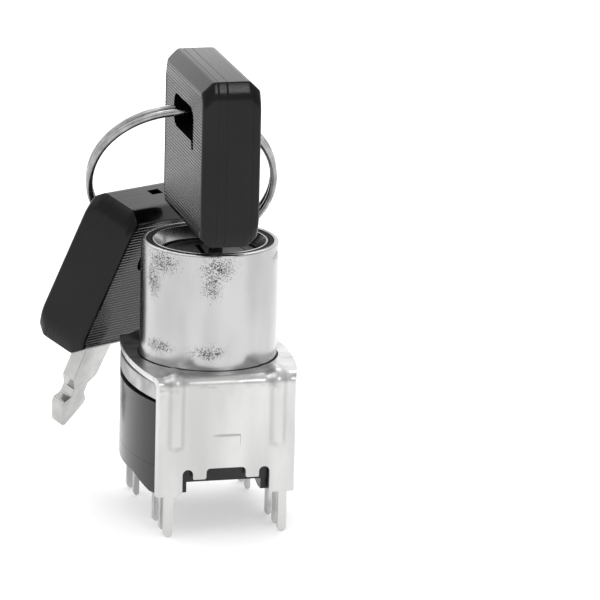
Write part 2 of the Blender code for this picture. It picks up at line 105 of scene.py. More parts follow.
CAMERA_YAW = math.radians(14.72)
CAMERA_ELEVATION = math.radians(15.39)
CAMERA_ROLL = math.radians(1.43)
CAMERA_DISTANCE = 459.7
CAMERA_AIM_RIGHT = 8.06
CAMERA_AIM_UP = 4.56
CAMERA_LENS = 315.5
SENSOR_WIDTH = 36.0
FLOOR_HALF_SIDE = 3.0
FLOOR_GAP = 0.01
WHITE = (1.0, 1.0, 1.0, 1.0)


def make_camera():
    """The camera stands off to the left of the front, a little above the switch."""
    level = math.cos(CAMERA_ELEVATION)
    forward = Vector((math.sin(CAMERA_YAW) * level, math.cos(CAMERA_YAW) * level,
                      -math.sin(CAMERA_ELEVATION)))
    right = Vector((math.cos(CAMERA_YAW), -math.sin(CAMERA_YAW), 0.0))
    up = right.cross(forward)
    rolled_right = right * math.cos(CAMERA_ROLL) + up * math.sin(CAMERA_ROLL)
    rolled_up = up * math.cos(CAMERA_ROLL) - right * math.sin(CAMERA_ROLL)
    place = (rolled_right * CAMERA_AIM_RIGHT + rolled_up * CAMERA_AIM_UP
             - forward * CAMERA_DISTANCE + Vector((0.0, 0.0, PLATE_TOP_Z)))
    data = bpy.data.cameras.new("camera")
    data.lens = CAMERA_LENS
    data.sensor_width = SENSOR_WIDTH
    data.clip_start = 0.01
    data.clip_end = 10.0
    camera = bpy.data.objects.new("camera", data)
    bpy.context.scene.collection.objects.link(camera)
    turn = Matrix((rolled_right, rolled_up, -forward)).transposed()
    camera.matrix_world = Matrix.Translation(place * MM) @ turn.to_4x4()
    bpy.context.scene.camera = camera


def make_world():
    """Soft room light, brighter behind the switch than behind the camera."""
    world = bpy.data.worlds.new("studio")
    world.use_nodes = True
    bpy.context.scene.world = world
    tree = world.node_tree
    background = tree.nodes["Background"]
    coords = tree.nodes.new("ShaderNodeTexCoord")
    split = tree.nodes.new("ShaderNodeSeparateXYZ")
    tree.links.new(coords.outputs["Generated"], split.inputs[0])
    fade = tree.nodes.new("ShaderNodeMapRange")
    fade.inputs["From Min"].default_value = -0.8
    fade.inputs["From Max"].default_value = 0.6
    fade.inputs["To Min"].default_value = 0.58
    fade.inputs["To Max"].default_value = 1.2
    fade.interpolation_type = "SMOOTHSTEP"
    tree.links.new(split.outputs["Y"], fade.inputs["Value"])
    tree.links.new(fade.outputs["Result"], background.inputs["Strength"])
    background.inputs["Color"].default_value = WHITE


def make_light(name, place, aim, size, power):
    """A rectangular soft light; places and sizes in metres, power in watts."""
    data = bpy.data.lights.new(name, "AREA")
    data.shape = "RECTANGLE"
    data.size, data.size_y = size
    data.energy = power
    lamp = bpy.data.objects.new(name, data)
    bpy.context.scene.collection.objects.link(lamp)
    place, aim = Vector(place), Vector(aim)
    lamp.matrix_world = (Matrix.Translation(place)
                         @ (aim - place).to_track_quat("-Z", "Y").to_matrix().to_4x4())


def make_floor():
    """A plain pale floor under the pin tips, lifted a little in brightness by its own glow."""
    mesh = bpy.data.meshes.new("floor")
    half = FLOOR_HALF_SIDE
    level = (PIN_TIP_Z - FLOOR_GAP) * MM
    mesh.from_pydata([(-half, -half, level), (half, -half, level), (half, half, level),
                      (-half, half, level)], [], [(0, 1, 2, 3)])
    floor = bpy.data.objects.new("floor", mesh)
    bpy.context.scene.collection.objects.link(floor)
    material, tree, shader = new_material("floor", grey(0.8), 0.0, 0.7,
                                          Emission_Color=WHITE, Emission_Strength=0.36)
    grain = noise(tree, 900.0, 3.0)
    link(tree, mapped(tree, grain, 0.3, 0.7, 0.66, 0.74), shader, "Roughness")
    floor.data.materials.append(material)


# ---------------------------------------------------------------- materials

def new_material(name, color, metallic, roughness, **sockets):
    material = bpy.data.materials.new(name)
    material.use_nodes = True
    tree = material.node_tree
    shader = tree.nodes["Principled BSDF"]
    shader.inputs["Base Color"].default_value = (*color, 1.0)
    shader.inputs["Metallic"].default_value = metallic
    shader.inputs["Roughness"].default_value = roughness
    for socket, value in sockets.items():
        shader.inputs[socket.replace("_", " ")].default_value = value
    return material, tree, shader


def grey(level):
    return level, level, level


def link(tree, output, node, socket):
    tree.links.new(output, node.inputs[socket])


def place_coords(tree, scale=(1.0, 1.0, 1.0), offset=(0.0, 0.0, 0.0)):
    """Coordinates fixed to the piece, so a pattern stays put when the piece moves."""
    coords = tree.nodes.new("ShaderNodeTexCoord")
    mapping = tree.nodes.new("ShaderNodeMapping")
    mapping.inputs["Scale"].default_value = scale
    mapping.inputs["Location"].default_value = offset
    link(tree, coords.outputs["Object"], mapping, "Vector")
    return mapping.outputs["Vector"]


def noise(tree, scale, detail=3.0, stretch=(1.0, 1.0, 1.0)):
    texture = tree.nodes.new("ShaderNodeTexNoise")
    texture.inputs["Scale"].default_value = scale
    texture.inputs["Detail"].default_value = detail
    link(tree, place_coords(tree, stretch), texture, "Vector")
    return texture.outputs["Fac"]


def mapped(tree, value, low, high, to_low=0.0, to_high=1.0):
    node = tree.nodes.new("ShaderNodeMapRange")
    node.interpolation_type = "SMOOTHSTEP"
    node.inputs["From Min"].default_value = low
    node.inputs["From Max"].default_value = high
    node.inputs["To Min"].default_value = to_low
    node.inputs["To Max"].default_value = to_high
    link(tree, value, node, "Value")
    return node.outputs["Result"]


def maths(tree, operation, first, second):
    node = tree.nodes.new("ShaderNodeMath")
    node.operation = operation
    for index, value in enumerate((first, second)):
        if isinstance(value, float):
            node.inputs[index].default_value = value
        else:
            tree.links.new(value, node.inputs[index])
    return node.outputs[0]


def blended(tree, factor, first, second):
    """A colour between two, each a colour or a socket."""
    node = tree.nodes.new("ShaderNodeMix")
    node.data_type = "RGBA"
    link(tree, factor, node, "Factor")
    for socket, value in ((6, first), (7, second)):
        if isinstance(value, tuple):
            node.inputs[socket].default_value = (*value, 1.0)
        else:
            tree.links.new(value, node.inputs[socket])
    return node.outputs[2]


def bumped(tree, shader, height, distance, strength=1.0):
    node = tree.nodes.new("ShaderNodeBump")
    node.inputs["Strength"].default_value = strength
    node.inputs["Distance"].default_value = distance
    link(tree, height, node, "Height")
    link(tree, node.outputs["Normal"], shader, "Normal")


def spot(tree, centre, radii):
    """1 at a point on the piece, fading to 0 at the given distances in millimetres."""
    scale = tuple(1.0 / (radius * MM) for radius in radii)
    offset = tuple(-c * MM * s for c, s in zip(centre, scale))
    texture = tree.nodes.new("ShaderNodeTexGradient")
    texture.gradient_type = "SPHERICAL"
    link(tree, place_coords(tree, scale, offset), texture, "Vector")
    return texture.outputs["Fac"]


def on_barrel(degrees, height):
    """A point on the barrel's side, by its angle from the part's own front towards its right."""
    facing = math.radians(degrees)
    return BARREL_RADIUS * math.sin(facing), -BARREL_RADIUS * math.cos(facing), height


def nickel_plate():
    """Bright plate with cloudy tone and patches of fine pitting near rim and foot."""
    material, tree, shader = new_material("nickel_plate", (0.7, 0.7, 0.71), 1.0, 0.2)
    # Angle in degrees, height, reach across and reach upward.
    patches = [(-57, 18.9, 3.4, 2.2), (-67, 17.2, 2.2, 3.2), (-7, 18.7, 3.0, 2.4),
               (-11, 17.2, 1.7, 2.4), (-60, 11.3, 3.4, 1.2), (-13, 11.2, 3.2, 1.2), (60, 18.9, 1.8, 0.9),
               (135, 18.2, 2.6, 1.8), (185, 11.8, 2.4, 0.9)]
    total = None
    for degrees, height, across, tall in patches:
        here = spot(tree, on_barrel(degrees, height), (across, across, tall))
        total = here if total is None else maths(tree, "MAXIMUM", total, here)
    veil = maths(tree, "MULTIPLY", mapped(tree, total, 0.0, 0.9), 0.26)
    pits = noise(tree, 9500.0, 6.0)
    uneven = maths(tree, "MULTIPLY", noise(tree, 1900.0, 2.0), 0.2)
    speck = mapped(tree, maths(tree, "ADD", maths(tree, "ADD", pits, uneven), veil), 0.78, 0.96)
    tone = mapped(tree, noise(tree, 260.0, 2.0, (1.0, 1.0, 0.35)), 0.35, 0.65)
    clean = blended(tree, tone, grey(0.43), grey(0.52))
    link(tree, blended(tree, speck, clean, grey(0.08)), shader, "Base Color")
    smear = mapped(tree, noise(tree, 420.0, 3.0, (1.0, 1.0, 0.3)), 0.3, 0.7, 0.19, 0.27)
    rough = maths(tree, "ADD", smear, maths(tree, "MULTIPLY", speck, 0.25))
    link(tree, rough, shader, "Roughness")
    level = maths(tree, "SUBTRACT", 0.5, maths(tree, "MULTIPLY", speck, 0.5))
    bumped(tree, shader, level, 0.000006, 0.4)
    return material


def tinned_sheet():
    """Satin tin on the bracket: painted shade beside the ribs, marked near the bend and on the plate."""
    material, tree, shader = new_material("tinned_steel", (0.7, 0.7, 0.69), 1.0, 0.32)
    cloud = mapped(tree, noise(tree, 260.0, 4.0, (1.0, 1.0, 0.3)), 0.3, 0.7)
    sheet = blended(tree, cloud, (0.54, 0.54, 0.535), (0.64, 0.64, 0.635))
    place = tree.nodes.new("ShaderNodeSeparateXYZ")
    tree.links.new(place_coords(tree), place.inputs[0])
    height = place.outputs["Z"]
    from_middle = maths(tree, "ABSOLUTE", place.outputs["X"], 0.0)
    from_rib = maths(tree, "ABSOLUTE", maths(tree, "SUBTRACT", from_middle, RIB_X * MM), 0.0)
    from_flank = maths(tree, "ABSOLUTE", maths(tree, "SUBTRACT", from_rib, 0.00058), 0.0)
    # Painted shade: a thin darker band along both flanks of each pressed rib, from 2.8 mm height up.
    painted_rib_shade = maths(tree, "MULTIPLY", mapped(tree, from_flank, 0.0, 0.00034, 0.34, 0.0),
                 mapped(tree, height, 0.0028, 0.0038))
    sheet = blended(tree, painted_rib_shade, sheet, grey(0.3))
    stains = mapped(tree, noise(tree, 1300.0, 5.0, (0.35, 1.0, 1.0)), 0.52, 0.72)
    dirt = maths(tree, "MULTIPLY", stains, mapped(tree, height, 0.0074, 0.0088, 0.0, 0.5))
    sheet = blended(tree, dirt, sheet, grey(0.25))
    smudge = mapped(tree, noise(tree, 520.0, 5.0), 0.35, 0.65, 0.0, 0.3)
    top = maths(tree, "MULTIPLY", mapped(tree, height, 0.0093, 0.0096), smudge)
    link(tree, blended(tree, top, sheet, grey(0.27)), shader, "Base Color")
    fine = noise(tree, 3500.0, 4.0, (1.0, 1.0, 0.3))
    polish = mapped(tree, cloud, 0.0, 1.0, 0.38, 0.28)
    rough = maths(tree, "ADD", polish, maths(tree, "MULTIPLY", fine, 0.06))
    link(tree, rough, shader, "Roughness")
    bumped(tree, shader, fine, 0.000005, 0.5)
    return material


def metal(name, dark, light, low, high, scale, grain, grain_stretch=(1.0, 1.0, 1.0), depth=0.000004,
          **sockets):
    """Metal with cloudy tone, uneven polish and a fine surface grain."""
    material, tree, shader = new_material(name, light, 1.0, low, **sockets)
    cloud = mapped(tree, noise(tree, scale, 4.0), 0.3, 0.7)
    link(tree, blended(tree, cloud, dark, light), shader, "Base Color")
    fine = noise(tree, grain, 4.0, grain_stretch)
    polish = mapped(tree, cloud, 0.0, 1.0, high, low)
    rough = maths(tree, "ADD", polish, maths(tree, "MULTIPLY", fine, 0.06))
    link(tree, rough, shader, "Roughness")
    bumped(tree, shader, fine, depth, 0.5)
    return material


def plastic(name, dark, light, low, high, grain, depth, **sockets):
    """Moulded plastic with faint flow marks and a fine moulded grain."""
    material, tree, shader = new_material(name, light, 0.0, low, **sockets)
    flow = mapped(tree, noise(tree, 180.0, 4.0), 0.3, 0.7)
    link(tree, blended(tree, flow, dark, light), shader, "Base Color")
    fine = noise(tree, grain, 5.0)
    link(tree, mapped(tree, fine, 0.3, 0.7, low, high), shader, "Roughness")
    bumped(tree, shader, fine, depth, 0.6)
    return material


MATERIALS = {
    "nickel_plate": nickel_plate(),
    "zinc": metal("zinc", grey(0.36), grey(0.52), 0.38, 0.5, 500.0, 5000.0,
                  (1.0, 1.0, 6.0), 0.00001),
    "seal_rubber": plastic("seal_rubber", grey(0.008), grey(0.016), 0.6, 0.8,
                           4000.0, 0.000008, Specular_IOR_Level=0.1),
    "brass": metal("brass", (0.62, 0.45, 0.2), (0.78, 0.6, 0.3), 0.24, 0.36, 400.0, 3000.0),
    "black_face": plastic("black_face", grey(0.01), grey(0.018), 0.35, 0.5,
                          5000.0, 0.000006),
    "spring_steel": metal("spring_steel", (0.42, 0.42, 0.44), (0.62, 0.62, 0.64), 0.2, 0.32, 900.0,
                          4000.0),
    "black_housing": plastic("black_housing", grey(0.01), (0.017, 0.017, 0.018), 0.16, 0.24,
                             6000.0, 0.000002, IOR=1.4),
    "natural_nylon": plastic("natural_nylon", (0.62, 0.6, 0.52), (0.74, 0.72, 0.65), 0.4, 0.5,
                             3000.0, 0.000006),
    "contact_copper": metal("contact_copper", (0.55, 0.3, 0.16), (0.78, 0.48, 0.3), 0.22, 0.34,
                            500.0, 3000.0),
    "tinned_pin": metal("tinned_pin", (0.46, 0.46, 0.455), (0.6, 0.6, 0.595), 0.26, 0.4, 700.0,
                        2500.0, (1.0, 1.0, 0.25)),
    "tinned_steel": tinned_sheet(),
    "key_nickel": metal("key_nickel", (0.36, 0.358, 0.352), (0.48, 0.477, 0.468), 0.1, 0.2, 420.0,
                        2600.0, (1.0, 0.25, 1.0)),
    "bow_plastic": plastic("bow_plastic", grey(0.002), grey(0.005), 0.15, 0.24,
                           7000.0, 0.000002, IOR=1.33),
    "ring_steel": metal("ring_steel", (0.24, 0.24, 0.245), (0.4, 0.4, 0.405), 0.12, 0.2, 700.0,
                        3000.0),
}


# ---------------------------------------------------------------- mesh helpers

def arc(centre, radius, start, end, count):
    """Points on an arc between two angles in degrees."""
    angles = np.radians(np.linspace(start, end, count + 1))
    return [(centre[0] + radius * math.cos(a), centre[1] + radius * math.sin(a)) for a in angles]


def circle(radius, count=128):
    return arc((0.0, 0.0), radius, 0.0, 360.0 * (count - 1) / count, count - 1)


def bulged(outline, count=40):
    """The body's outline: two flats at front and back, joined by bulging sides."""
    side, side_at_flat, flat = outline
    rise = side - side_at_flat
    radius = (rise * rise + flat * flat) / (2 * rise)
    spread = math.degrees(math.asin(flat / radius))
    right = arc((side - radius, 0.0), radius, -spread, spread, count)
    return right + [(-x, -y) for x, y in right]


def curved(start, corner, end, count):
    """Points on a smooth bend from one place to another, drawn towards a corner."""
    steps = [k / count for k in range(count + 1)]
    return [tuple(start * (1 - t) ** 2 + corner * 2 * t * (1 - t) + end * t * t) for t in steps]


def filleted(points, radius, count=5):
    """A closed outline with every corner rounded as far as its sides allow."""
    rounded = []
    total = len(points)
    for i in range(total):
        before, here, after = (Vector(points[(i + k) % total]) for k in (-1, 0, 1))
        back, ahead = before - here, after - here
        turn = back.angle(ahead, math.pi)
        if turn > math.radians(172.0) or min(back.length, ahead.length) < 1e-6:
            rounded.append(tuple(here))
            continue
        trim = min(radius / math.tan(turn / 2), 0.45 * back.length, 0.45 * ahead.length)
        start, end = here + back.normalized() * trim, here + ahead.normalized() * trim
        rounded += curved(start, here, end, count)
    return rounded


def cleaned(mesh):
    shape = bmesh.new()
    shape.from_mesh(mesh)
    bmesh.ops.remove_doubles(shape, verts=shape.verts, dist=1e-8)
    bmesh.ops.recalc_face_normals(shape, faces=shape.faces)
    shape.to_mesh(mesh)
    shape.free()
    return mesh


def from_faces(points, faces):
    """A mesh from points in millimetres."""
    mesh = bpy.data.meshes.new("shape")
    mesh.from_pydata([tuple(c * MM for c in p) for p in points], [], faces)
    return cleaned(mesh)


def skinned(sections, loop=False):
    """A closed skin through rings of points that match one to one."""
    count = len(sections[0])
    points = [p for section in sections for p in section]
    faces = []
    steps = len(sections) if loop else len(sections) - 1
    for i in range(steps):
        low, high = i * count, ((i + 1) % len(sections)) * count
        for k in range(count):
            after = (k + 1) % count
            faces.append((low + k, low + after, high + after, high + k))
    if not loop:
        faces.append(tuple(range(count)))
        faces.append(tuple(range(len(points) - count, len(points))))
    return from_faces(points, faces)


def turned(profile, steps=160):
    """A ring-shaped solid of revolution about Z from a closed (radius, z) outline."""
    sections = []
    for i in range(steps):
        a = 2 * math.pi * i / steps
        sections.append([(r * math.cos(a), r * math.sin(a), z) for r, z in profile])
    return skinned(sections, loop=True)


def evaluated(source):
    bpy.context.view_layer.update()
    graph = bpy.context.evaluated_depsgraph_get()
    mesh = bpy.data.meshes.new_from_object(source.evaluated_get(graph))
    mesh.transform(source.matrix_world)
    bpy.data.objects.remove(source, do_unlink=True)
    return mesh


def as_object(data, name="work"):
    item = bpy.data.objects.new(name, data)
    bpy.context.scene.collection.objects.link(item)
    return item


def plate(outlines, low, high, axis="Z", edge=0.0, segments=2):
    """Flat outlines given thickness along an axis, with rounded edges.

    Outlines are (x, y) for Z, (x, z) for Y and (y, z) for X.
    """
    curve = bpy.data.curves.new("plate", "CURVE")
    curve.dimensions = "2D"
    curve.fill_mode = "BOTH"
    curve.extrude = (high - low) / 2 * MM - edge * MM
    curve.bevel_depth = edge * MM
    curve.bevel_resolution = segments
    curve.offset = -edge * MM
    for outline in outlines:
        spline = curve.splines.new("POLY")
        spline.points.add(len(outline) - 1)
        for point, (u, v) in zip(spline.points, outline):
            point.co = (u * MM, v * MM, 0.0, 1.0)
        spline.use_cyclic_u = True
    source = as_object(curve)
    middle = (low + high) / 2 * MM
    rows = {"Z": ((1, 0, 0, 0), (0, 1, 0, 0), (0, 0, 1, middle)),
            "Y": ((1, 0, 0, 0), (0, 0, -1, middle), (0, 1, 0, 0)),
            "X": ((0, 0, 1, middle), (1, 0, 0, 0), (0, 1, 0, 0))}
    source.matrix_world = Matrix((*rows[axis], (0, 0, 0, 1)))
    return cleaned(evaluated(source))


def block(low, high):
    (x0, y0, z0), (x1, y1, z1) = low, high
    ring = [(x0, y0), (x1, y0), (x1, y1), (x0, y1)]
    return skinned([[(x, y, z0) for x, y in ring], [(x, y, z1) for x, y in ring]])


def combined(mesh, other, operation):
    """One mesh cut by another, joined to it, or kept only where they overlap."""
    first, second = as_object(mesh), as_object(other)
    modifier = first.modifiers.new("boolean", "BOOLEAN")
    modifier.operation = operation
    modifier.solver = "EXACT"
    modifier.object = second
    result = evaluated(first)
    bpy.data.objects.remove(second, do_unlink=True)
    return result


def without(mesh, *others):
    for other in others:
        mesh = combined(mesh, other, "DIFFERENCE")
    return mesh


def add_piece(name, mesh, slot, body, nodes=(), material=None, angle=32.0):
    """Show a mesh as a named piece that rides on a body and stands for CAD nodes."""
    piece = as_object(mesh, name)
    mesh.name = name
    mesh.materials.clear()
    mesh.materials.append(MATERIALS[material or slot])
    mesh.shade_smooth()
    mesh.set_sharp_from_angle(angle=math.radians(angle))
    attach(piece, body)
    if nodes:
        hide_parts(*nodes)
    return piece


# ---------------------------------------------------------------- lock

def make_barrel():
    """Turned barrel with a rounded rim, a groove, a lip and a funnel down to the plug."""
    corners = [
        (BARREL_RADIUS, FLANGE_BOTTOM_Z + 0.4), (BARREL_RADIUS, RIM_Z), (5.56, RIM_Z),
        (5.56, RIM_Z - 0.6), (5.04, RIM_Z - 0.6), (5.04, RIM_Z - 0.05), (4.9, RIM_Z - 0.05),
        (4.38, 18.85), (4.38, 18.1), (4.0, 18.1), (4.0, 18.02), (4.6, 18.02), (4.6, 12.0),
        (4.0, 12.0), (4.0, 8.7), (2.1, 8.7), (2.1, 8.2), (3.7, 8.2), (3.7, FLANGE_BOTTOM_Z + 0.4),
    ]
    radii = [0.02, 0.42, 0.08, 0.05, 0.05, 0.06, 0.06, 0.12] + [0.02] * 11
    profile = []
    for i, radius in enumerate(radii):
        around = [corners[i - 1], corners[i], corners[(i + 1) % len(corners)]]
        profile += filleted(around, radius, 6)[7:14]
    add_piece("barrel", turned(profile, 192), "nickel_plate", "switch_body", ["lock_barrel"])
    flange = plate([bulged(FLANGE_OUTLINE), circle(5.6)], FLANGE_BOTTOM_Z, FLANGE_TOP_Z, "Z", 0.1)
    add_piece("barrel_flange", flange, "nickel_plate", "switch_body", material="zinc")
    low, high = RIM_Z - 0.52, RIM_Z - 0.05
    seal = filleted([(5.07, low), (5.53, low), (5.51, high), (5.09, high)], 0.06, 4)
    add_piece("rim_seal_ring", turned(seal, 160), "seal_rubber", "switch_body", ["rim_seal"])


def make_plug_face():
    """Moulded face of the plug, with a shallow ring and the key's entry."""
    profile = [(0.001, 18.75)]
    profile += [(2.9, 18.75), (2.95, 18.7), (3.1, 18.7), (3.15, 18.75)]
    profile += [(3.95, 18.75), (4.1, 18.71), (4.18, 18.64), (4.2, 18.58), (4.2, 18.22)]
    profile += [(4.18, 18.2), (0.001, 18.2)]
    entry = plate([filleted([(-0.85, -2.3), (0.85, -2.3), (0.85, 2.3), (-0.85, 2.3)], 0.15)],
                  17.0, 19.5)
    add_piece("plug_face_cap", without(turned(profile, 128), entry), "black_face", "plug", ["plug_face"])


# ---------------------------------------------------------------- switch

def terminal_places():
    """Pin centres: two rows, each with a front pair and one at the back."""
    return [(side * 2 * PIN_PITCH, row * PIN_PITCH) for side in (-1, 1) for row in (-2, -1, 2)]


def make_housing():
    """Moulded shell and base, with rounded edges and a hairline between them."""
    shell = plate([bulged(HOUSING_OUTLINE)], HOUSING_BOTTOM_Z - 0.145, HOUSING_TOP_Z, "Z", 0.02, 2)
    cavity = plate([bulged(CAVITY_OUTLINE)], HOUSING_BOTTOM_Z - 1.0, 6.2)
    hole = plate([circle(2.1, 64)], 5.0, 8.0)
    track = turned([(2.2, 6.0), (4.2, 6.0), (4.2, 6.5), (3.7, 6.85), (2.7, 6.85), (2.2, 6.5)], 96)
    add_piece("housing_shell", without(shell, cavity, hole, track), "black_housing", "switch_body",
              ["switch_housing"], angle=10.0)
    side, side_at_flat, flat = HOUSING_OUTLINE
    base = plate([bulged((side - 0.002, side_at_flat - 0.002, flat - 0.002))], 0.0, 1.5, "Z", 0.02, 2)
    for x_side in (-1, 1):
        for y_side in (-1, 1):
            corners = [(6.72, 0.5), (6.72, SEAT_Z + 0.05), (5.6, SEAT_Z + 0.05), (2.2, 0.02), (2.2, 0.5)]
            profile = [(y_side * y, z) for y, z in corners]
            low, high = sorted((x_side * 3.3, x_side * 8.0))
            foot = plate([filleted(profile, 0.12)], low, high, "X", 0.02)
            within = plate([bulged((side - 0.08, side_at_flat - 0.08, flat))], -2.0, 1.0)
            foot = combined(foot, within, "INTERSECT")
            base = combined(base, foot, "UNION")
    for x, y in terminal_places():
        corners = ((-0.37, -0.44), (0.37, -0.44), (0.37, 0.44), (-0.37, 0.44))
        outline = [(x + u, y + v) for u, v in corners]
        base = without(base, plate([filleted(outline, 0.1)], -1.5, 2.0))
    add_piece("housing_base", base, "black_housing", "switch_body", ["terminal_base"], angle=10.0)


def make_terminals():
    """Solder pins with rounded tips, bent inward over the base as contact pads."""
    for number, (x, y) in enumerate(terminal_places(), 1):
        side = 1 if x > 0 else -1
        tip = arc((0.0, PIN_TIP_Z + 0.25), 0.25, 180, 360, 8)
        profile = tip + [(0.25, 1.95), (-2.3, 1.95), (-2.3, 1.68), (-0.25, 1.68)]
        outline = [(x + side * u, v) for u, v in profile]
        pin = plate([outline], y - 0.32, y + 0.32, "Y", 0.07, 3)
        add_piece(f"pin_{number}", pin, "tinned_pin", "switch_body", [f"terminal_{number}"])


# ---------------------------------------------------------------- bracket

def bracket_path():
    """Stations along the sheet's outer face, from one lower edge over the plate to the other.

    Each is the distance along the sheet, the place (y, z) and the outward direction.
    """
    flange = PLATE_TOP_Z - BEND - PIN_TIP_Z
    heights = np.unique(np.concatenate([np.linspace(PIN_TIP_Z, 2.0, 12), np.linspace(2.0, 5.2, 36),
                                        np.linspace(5.2, PLATE_TOP_Z - BEND, 16)]))
    stations = [(z - PIN_TIP_Z, -BRACKET_HALF_DEPTH, z, -1.0, 0.0) for z in heights]
    quarter = math.pi / 2 * BEND
    for a in np.radians(np.linspace(0, 90, 15))[1:]:
        stations.append((flange + a * BEND, -BRACKET_HALF_DEPTH + BEND - BEND * math.cos(a),
                         PLATE_TOP_Z - BEND + BEND * math.sin(a), -math.cos(a), math.sin(a)))
    edge = BRACKET_HALF_DEPTH - BEND
    across = np.concatenate([np.linspace(-edge, -edge + 2.4, 20)[1:],
                             np.linspace(-edge + 2.4, 0.0, 10)[1:]])
    stations += [(flange + quarter + y + edge, y, PLATE_TOP_Z, 0.0, 1.0) for y in across]
    whole = 2 * (flange + quarter + edge)
    stations += [(whole - s, -y, z, -ny, nz) for s, y, z, ny, nz in stations[-2::-1]]
    return stations, whole


def smooth_step(value):
    value = min(max(value, 0.0), 1.0)
    return value * value * (3 - 2 * value)


def embossing(x, along, whole):
    """How far the sheet stands proud: two ribs that run over the bend, and a small raised tab."""
    near = min(along, whole - along)
    start = 3.68 - PIN_TIP_Z
    bend = PLATE_TOP_Z - BEND - PIN_TIP_Z
    end = bend + math.pi / 2 * BEND + 1.2
    outside = max(start - near, near - end, 0.0)
    reach = RIB_REACH + 0.35 * smooth_step((near - bend + 0.9) / 0.9)
    away = math.hypot(abs(x) - RIB_X, outside) / reach
    rib = RIB_HEIGHT * (0.5 + 0.5 * math.cos(math.pi * away)) if away < 1.0 else 0.0
    across = x if along < whole / 2 else -x
    height = near + PIN_TIP_Z
    sides = smooth_step((across + 1.3) / 0.8) * smooth_step((1.25 - across) / 0.12)
    tab = 0.15 * sides * smooth_step((height - 2.2) / 1.9) * smooth_step((4.36 - height) / 0.1)
    return rib + tab


def bracket_sheet():
    """The bent and embossed sheet before its edges, hole and legs are cut."""
    stations, whole = bracket_path()
    fine = np.linspace(-1.25, 1.25, 27)
    xs = np.unique(np.round(np.concatenate([np.linspace(-8.0, 8.0, 33), RIB_X + fine, -RIB_X + fine,
                                            np.linspace(-1.5, -0.4, 8), np.linspace(1.0, 1.4, 9)]), 4))
    sections = []
    for along, y, z, ny, nz in stations:
        outer, inner = [], []
        for x in xs:
            proud = embossing(x, along, whole)
            outer.append((x, y + ny * proud, z + nz * proud))
            depth = SHEET - 0.9 * proud
            inner.append((x, y - ny * depth, z - nz * depth))
        sections.append(outer + inner[::-1])
    return skinned(sections)


def bracket_edge():
    """Lower edge of a flange from the middle outward: cut-out, web, notch, leg, solder pin."""
    pin = 2 * PIN_PITCH
    notch = arc((3.4, 0.85), 0.47, 180, 0, 14)
    corner = arc((1.4, 1.0), 0.35, 90, 0, 6)
    foot = arc((1.95, 0.6), 0.2, 180, 270, 5)
    hook = arc((2.81, 0.52), 0.12, 270, 360, 4)
    tip = arc((pin, PIN_TIP_Z + 0.375), 0.375, 180, 360, 12)
    return [*corner, *foot, *hook, *notch, (3.87, SEAT_Z), (pin - 0.375, SEAT_Z), *tip,
            (pin + 0.375, SEAT_Z), (8.5, SEAT_Z)]


def make_bracket():
    """Stamped clip bracket: plate, two flanges with pressed ribs, four legs with solder pins."""
    sheet = bracket_sheet()
    bulge = bulged((PLATE_BULGE, BRACKET_HALF_WIDTH + 0.35, BRACKET_HALF_DEPTH - 0.75))[:41]
    ends = [(BRACKET_HALF_WIDTH + 0.2, BRACKET_HALF_DEPTH - 0.45),
            (BRACKET_HALF_WIDTH, BRACKET_HALF_DEPTH), (BRACKET_HALF_WIDTH - 0.03, 10.0)]
    inner = [(x, -y) for x, y in ends[::-1]] + bulge + ends
    trim = [(10.0, -10.0), (10.0, 10.0), *inner[::-1]]
    sides = [plate([[(side * x, y) for x, y in trim]], PIN_TIP_Z - 1.0, PLATE_TOP_Z + 1.0)
             for side in (-1, 1)]
    hole = plate([circle(BARREL_RADIUS + 0.15)], PLATE_TOP_Z - 2.0, PLATE_TOP_Z + 2.0)
    edge = bracket_edge()
    waste = [(-x, z) for x, z in edge[::-1]] + edge + [(8.5, -8.0), (-8.5, -8.0)]
    lower = plate([waste], -9.0, 9.0, "Y")
    add_piece("clip_bracket", without(sheet, *sides, hole, lower), "tinned_steel", "switch_body",
              ["bracket"], angle=28.0)


# ---------------------------------------------------------------- keys

RIB_PITCH = 0.28
RIB_RELIEF = 0.055
FACE_X = BOW_THICKNESS / 2
CORNER_RADIUS = 0.9
SEAMS = (-1.2, -0.42, 1.87)


def edge_drop(distance, radius):
    """How far a rounded edge falls away at a distance from it."""
    if distance >= radius:
        return 0.0
    return radius - math.sqrt(max(radius * radius - (radius - distance) ** 2, 0.0))


def bow_section(x, seam_depth=0.0):
    """Half width and half height of the bow's outline at a depth through it."""
    distance = FACE_X - abs(x)
    seam = sum(seam_depth * math.exp(-((x - place) / 0.04) ** 2) for place in SEAMS)
    slope = BOW_HEIGHT / 2 - BOW_TAPER + 0.08 + distance
    flat = BOW_HEIGHT / 2
    blend = 0.12
    over = slope - flat
    height = flat + (over - math.sqrt(over * over + blend * blend)) / 2 + 0.01
    height -= 0.7 * edge_drop(distance, 0.16) + seam
    width = BOW_WIDTH / 2 - edge_drop(distance, 0.34) - seam
    return width, min(height, flat)


def softened(before, corner, after, trim, count=6):
    """A rounded corner between two neighbours, cut back by the same length on both sides."""
    before, corner, after = Vector(before), Vector(corner), Vector(after)
    start = corner + (before - corner).normalized() * trim
    end = corner + (after - corner).normalized() * trim
    return curved(start, corner, end, count)


def bow_outline(half_width, half_height):
    """The bow seen on its broad face: upright sides that lean in softly near both ends."""
    shoulder = half_height - 1.2
    side, lean, end = (half_width, 0.0), (half_width, shoulder), (half_width - 0.5, half_height)
    quarter = softened(side, lean, end, 0.6) + softened(lean, end, (0.0, half_height), 0.14)
    upper_left = [(-y, z) for y, z in quarter[::-1]]
    lower_left = [(-y, -z) for y, z in quarter]
    lower_right = [(y, -z) for y, z in quarter[::-1]]
    return quarter + upper_left + lower_left + lower_right


